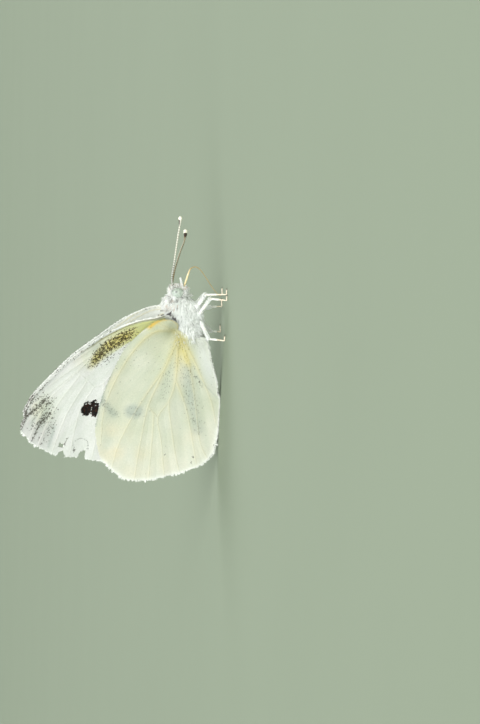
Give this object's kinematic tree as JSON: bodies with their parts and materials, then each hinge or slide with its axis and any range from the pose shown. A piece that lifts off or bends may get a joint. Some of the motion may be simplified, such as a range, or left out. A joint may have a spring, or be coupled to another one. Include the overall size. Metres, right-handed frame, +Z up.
{
  "type": "small white butterfly",
  "caption": "Life-size still model of a small white butterfly standing with its wings closed over its back and its tongue uncoiled.",
  "frame": {"origin": "centre of the base of the box round the whole butterfly, on the floor", "axes": "+X forward, towards the head; +Y to the butterfly's left; +Z up"},
  "size_m": [0.037, 0.0132, 0.0252],
  "materials": {
    "body_fur": "soft white hair and scales",
    "eye": "finely faceted, pale green with dark spots",
    "antenna": "brown with white scale rings and a pale tip",
    "proboscis": "amber, finely ringed",
    "leg": "white scales, pale cream feet",
    "forewing": "matt white scales, grey tip and black spots",
    "hindwing": "matt pale yellow-green scales with a grey dusting"
  },
  "bodies": {
    "root": {"head": "body_fur", "thorax": "body_fur", "abdomen": "body_fur", "palp_left": "body_fur", "palp_right": "body_fur", "eye_left": "eye", "eye_right": "eye", "antenna_left": "antenna", "antenna_right": "antenna", "proboscis": "proboscis", "leg_front_left": "leg", "leg_front_right": "leg", "leg_mid_left": "leg", "leg_mid_right": "leg", "leg_hind_left": "leg", "leg_hind_right": "leg", "wing_fore_left": "forewing", "wing_hind_left": "hindwing", "wing_fore_right": "forewing", "wing_hind_right": "hindwing"}
  },
  "joints": []
}
